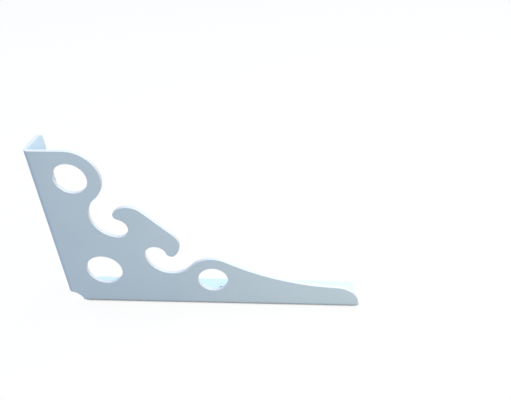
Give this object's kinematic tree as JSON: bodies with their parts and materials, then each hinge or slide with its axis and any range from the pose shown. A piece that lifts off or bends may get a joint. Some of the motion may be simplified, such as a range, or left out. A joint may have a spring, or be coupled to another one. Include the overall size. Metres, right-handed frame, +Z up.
{
  "type": "shelf bracket",
  "caption": "Right-angle shelf bracket folded from sheet steel: a plate with curved hooks and large round holes, and a screw flange along each straight edge.",
  "frame": {"origin": "under the middle of the bracket's box, on the plane that the long flange stands on", "axes": "+X out from the wall along the long flange, +Y across both flanges away from the plate's open face, +Z up along the wall flange"},
  "size_m": [0.25, 0.0286, 0.15],
  "materials": {
    "powder_coat": "satin white powder coat"
  },
  "bodies": {
    "root": {"bracket": "powder_coat"}
  },
  "joints": []
}
